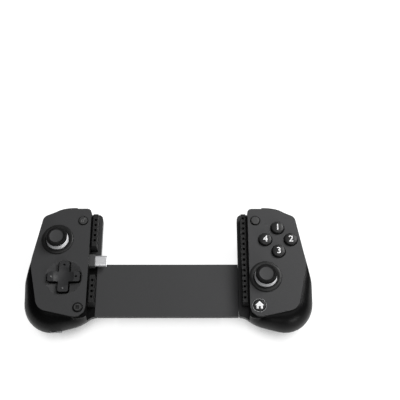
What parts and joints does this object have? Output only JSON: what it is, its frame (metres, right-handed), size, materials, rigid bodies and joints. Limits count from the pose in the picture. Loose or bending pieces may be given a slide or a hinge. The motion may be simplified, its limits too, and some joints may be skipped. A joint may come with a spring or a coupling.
{
  "type": "telescopic mobile game controller",
  "caption": "Telescopic game controller whose grips, with sticks, pad, buttons and triggers, slide apart on a sprung bridge and clamp a phone between ribbed pads.",
  "frame": {"origin": "on the table, under the middle of the closed controller", "axes": "+X toward the half that slides out, +Y toward the triggers, +Z out of the face with the sticks"},
  "size_m": [0.1976, 0.0892, 0.0431],
  "materials": {
    "face_plate": "fine matte moulded plastic",
    "small_button": "satin moulded plastic",
    "shell": "black satin moulded plastic",
    "bridge_cover": "fine matte moulded plastic",
    "shoulder": "black half-gloss plastic",
    "grip_rubber": "fine grained soft rubber",
    "pad_rubber": "ribbed soft rubber",
    "board": "green lacquered board",
    "silicone": "translucent grey silicone",
    "sheet_steel": "plain steel",
    "gimbal_plastic": "slippery moulded plastic",
    "bright_skirt": "bright plated dome",
    "stick_rubber": "soft matte rubber",
    "button_black": "black half-gloss plastic",
    "bright_trim": "bright plated metal",
    "carrier_plastic": "black matte plastic",
    "flex_film": "amber film"
  },
  "bodies": {
    "left_half": {"left_face_plate": "face_plate", "left_rear_shell": "shell", "left_grip_panel": "grip_rubber", "left_end_pads": "pad_rubber", "left_circuit_board": "board", "left_button_mat": "silicone", "left_stick_housing": "sheet_steel", "left_stick_collar": "face_plate", "left_shoulder_pins": "sheet_steel", "left_shoulder_board": "board", "left_screws": "sheet_steel", "plug_bracket": "sheet_steel", "plug_pin": "sheet_steel", "charge_port": "sheet_steel", "spring_anchor": "sheet_steel", "bridge_front_cover": "bridge_cover", "bridge_rear_cover": "shell", "bridge_springs": "sheet_steel", "flex_cable": "flex_film"},
    "right_half": {"right_face_plate": "face_plate", "right_rear_shell": "shell", "right_grip_panel": "grip_rubber", "right_end_pad": "pad_rubber", "right_circuit_board": "board", "right_button_mat": "silicone", "right_stick_housing": "sheet_steel", "right_stick_collar": "face_plate", "right_shoulder_pins": "sheet_steel", "right_shoulder_board": "board", "right_screws": "sheet_steel", "bridge_sled": "carrier_plastic", "home_ring": "bright_trim"},
    "left_stick_base": {"left_stick_yoke": "gimbal_plastic"},
    "left_stick_gimbal": {"left_stick_rocker": "gimbal_plastic"},
    "left_stick": {"left_stick_shaft": "gimbal_plastic", "left_stick_skirt": "bright_skirt", "left_stick_cap": "stick_rubber"},
    "right_stick_base": {"right_stick_yoke": "gimbal_plastic"},
    "right_stick_gimbal": {"right_stick_rocker": "gimbal_plastic"},
    "right_stick": {"right_stick_shaft": "gimbal_plastic", "right_stick_skirt": "bright_skirt", "right_stick_cap": "stick_rubber"},
    "pad_ball": {"pad_pivot": "sheet_steel"},
    "pad_cross": {"direction_pad": "button_black"},
    "plug": {"plug_carrier": "carrier_plastic", "plug_shell": "bright_trim"},
    "left_upper_button": {"left_upper_button": "small_button"},
    "left_lower_button": {"left_lower_button": "small_button"},
    "left_bumper": {"left_bumper": "shoulder"},
    "left_trigger": {"left_trigger": "shoulder"},
    "face_button_right": {"face_button_right": "button_black"},
    "face_button_upper": {"face_button_upper": "button_black"},
    "face_button_left": {"face_button_left": "button_black"},
    "face_button_lower": {"face_button_lower": "button_black"},
    "right_upper_button": {"right_upper_button": "small_button"},
    "home_button": {"home_button": "button_black"},
    "right_bumper": {"right_bumper": "shoulder"},
    "right_trigger": {"right_trigger": "shoulder"}
  },
  "joints": [
    {"name": "bridge_slide", "type": "slide", "parent": "left_half", "child": "right_half", "axis": [1, 0, 0], "range_m": [0, 0.08], "stiffness_N_per_m": 70, "springref_m": -0.06, "deforming": ["bridge_springs", "flex_cable"]},
    {"name": "left_stick_press", "type": "slide", "parent": "left_half", "child": "left_stick_base", "axis": [0, 0, -1], "range_m": [0, 0.0004], "stiffness_N_per_m": 2500},
    {"name": "left_stick_up_down", "type": "hinge", "parent": "left_stick_base", "child": "left_stick_gimbal", "pos_m": [-0.0773, 0.01755, 0.02975], "axis": [1, 0, 0], "range_deg": [-12, 12], "stiffness_Nm_per_rad": 0.03},
    {"name": "left_stick_side_to_side", "type": "hinge", "parent": "left_stick_gimbal", "child": "left_stick", "pos_m": [-0.0773, 0.01755, 0.02975], "axis": [0, 1, 0], "range_deg": [-12, 12], "stiffness_Nm_per_rad": 0.03},
    {"name": "right_stick_press", "type": "slide", "parent": "right_half", "child": "right_stick_base", "axis": [0, 0, -1], "range_m": [0, 0.0004], "stiffness_N_per_m": 2500},
    {"name": "right_stick_up_down", "type": "hinge", "parent": "right_stick_base", "child": "right_stick_gimbal", "pos_m": [0.0663, -0.01015, 0.02975], "axis": [1, 0, 0], "range_deg": [-12, 12], "stiffness_Nm_per_rad": 0.03},
    {"name": "right_stick_side_to_side", "type": "hinge", "parent": "right_stick_gimbal", "child": "right_stick", "pos_m": [0.0663, -0.01015, 0.02975], "axis": [0, 1, 0], "range_deg": [-12, 12], "stiffness_Nm_per_rad": 0.03},
    {"name": "pad_up_down", "type": "hinge", "parent": "left_half", "child": "pad_ball", "pos_m": [-0.0709, -0.01055, 0.03055], "axis": [1, 0, 0], "range_deg": [-4.5, 4.5], "stiffness_Nm_per_rad": 0.2},
    {"name": "pad_side_to_side", "type": "hinge", "parent": "pad_ball", "child": "pad_cross", "pos_m": [-0.0709, -0.01055, 0.03055], "axis": [0, 1, 0], "range_deg": [-4.5, 4.5], "stiffness_Nm_per_rad": 0.2},
    {"name": "face_button_right_press", "type": "slide", "parent": "right_half", "child": "face_button_right", "axis": [0, 0, -1], "range_m": [0, 0.0015], "stiffness_N_per_m": 500},
    {"name": "face_button_upper_press", "type": "slide", "parent": "right_half", "child": "face_button_upper", "axis": [0, 0, -1], "range_m": [0, 0.0015], "stiffness_N_per_m": 500},
    {"name": "face_button_left_press", "type": "slide", "parent": "right_half", "child": "face_button_left", "axis": [0, 0, -1], "range_m": [0, 0.0015], "stiffness_N_per_m": 500},
    {"name": "face_button_lower_press", "type": "slide", "parent": "right_half", "child": "face_button_lower", "axis": [0, 0, -1], "range_m": [0, 0.0015], "stiffness_N_per_m": 500},
    {"name": "left_upper_button_press", "type": "slide", "parent": "left_half", "child": "left_upper_button", "axis": [0, 0, -1], "range_m": [0, 0.0006], "stiffness_N_per_m": 900},
    {"name": "left_lower_button_press", "type": "slide", "parent": "left_half", "child": "left_lower_button", "axis": [0, 0, -1], "range_m": [0, 0.0006], "stiffness_N_per_m": 900},
    {"name": "right_upper_button_press", "type": "slide", "parent": "right_half", "child": "right_upper_button", "axis": [0, 0, -1], "range_m": [0, 0.0006], "stiffness_N_per_m": 900},
    {"name": "home_button_press", "type": "slide", "parent": "right_half", "child": "home_button", "axis": [0, 0, -1], "range_m": [0, 0.0006], "stiffness_N_per_m": 900},
    {"name": "left_bumper_turn", "type": "hinge", "parent": "left_half", "child": "left_bumper", "pos_m": [-0.0676, 0.03665, 0.03105], "axis": [0, 0, 1], "range_deg": [0, 2], "stiffness_Nm_per_rad": 0.5},
    {"name": "left_trigger_turn", "type": "hinge", "parent": "left_half", "child": "left_trigger", "pos_m": [-0.07565, 0.03555, 0.02485], "axis": [1, 0, 0], "range_deg": [-12, 0], "stiffness_Nm_per_rad": 0.12},
    {"name": "right_bumper_turn", "type": "hinge", "parent": "right_half", "child": "right_bumper", "pos_m": [0.0676, 0.03665, 0.03105], "axis": [0, 0, 1], "range_deg": [-2, 0], "stiffness_Nm_per_rad": 0.5},
    {"name": "right_trigger_turn", "type": "hinge", "parent": "right_half", "child": "right_trigger", "pos_m": [0.07565, 0.03555, 0.02485], "axis": [1, 0, 0], "range_deg": [-12, 0], "stiffness_Nm_per_rad": 0.12},
    {"name": "plug_tilt", "type": "hinge", "parent": "left_half", "child": "plug", "pos_m": [-0.058, 0.00475, 0.02825], "axis": [0, -1, 0], "range_deg": [0, 15], "stiffness_Nm_per_rad": 0.06}
  ]
}
